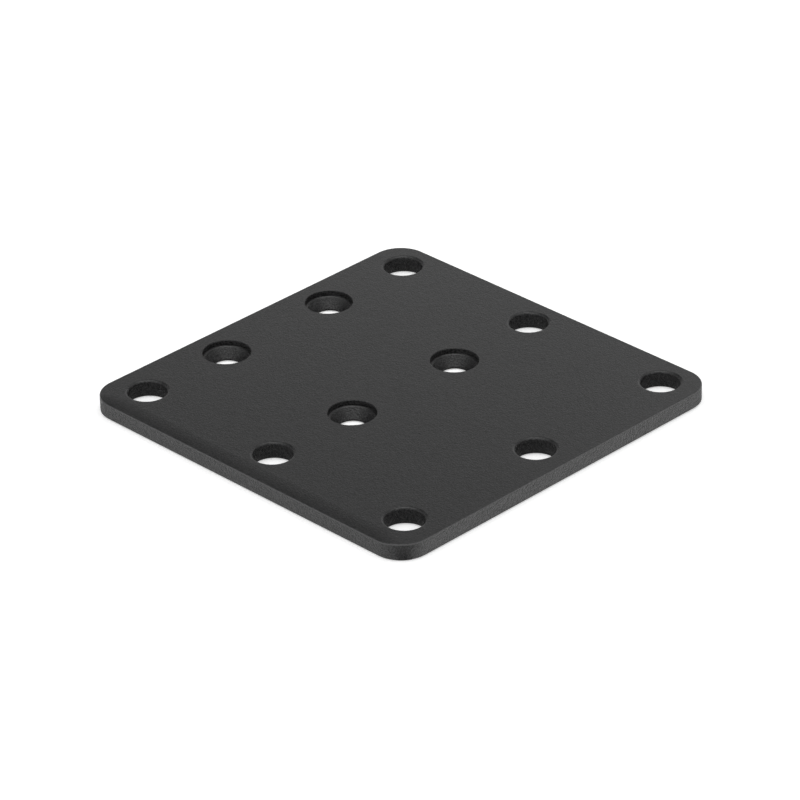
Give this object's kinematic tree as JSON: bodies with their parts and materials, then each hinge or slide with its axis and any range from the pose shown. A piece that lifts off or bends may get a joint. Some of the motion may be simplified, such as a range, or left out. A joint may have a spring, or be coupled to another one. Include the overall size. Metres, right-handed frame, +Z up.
{
  "type": "mounting plate",
  "caption": "Flat square mounting plate with rounded corners, plain round screw holes near its edges and countersunk holes in one half.",
  "frame": {"origin": "middle of the underside of the plate", "axes": "+Z up out of the countersunk face; +X towards the side with three plain holes in a row, away from the countersunk holes; +Y towards the side that the hole pattern is moved to by 1 mm"},
  "size_m": [0.098, 0.098, 0.004],
  "materials": {
    "black_powder_coat": "satin"
  },
  "bodies": {
    "root": {"mounting_plate": "black_powder_coat"}
  },
  "joints": []
}
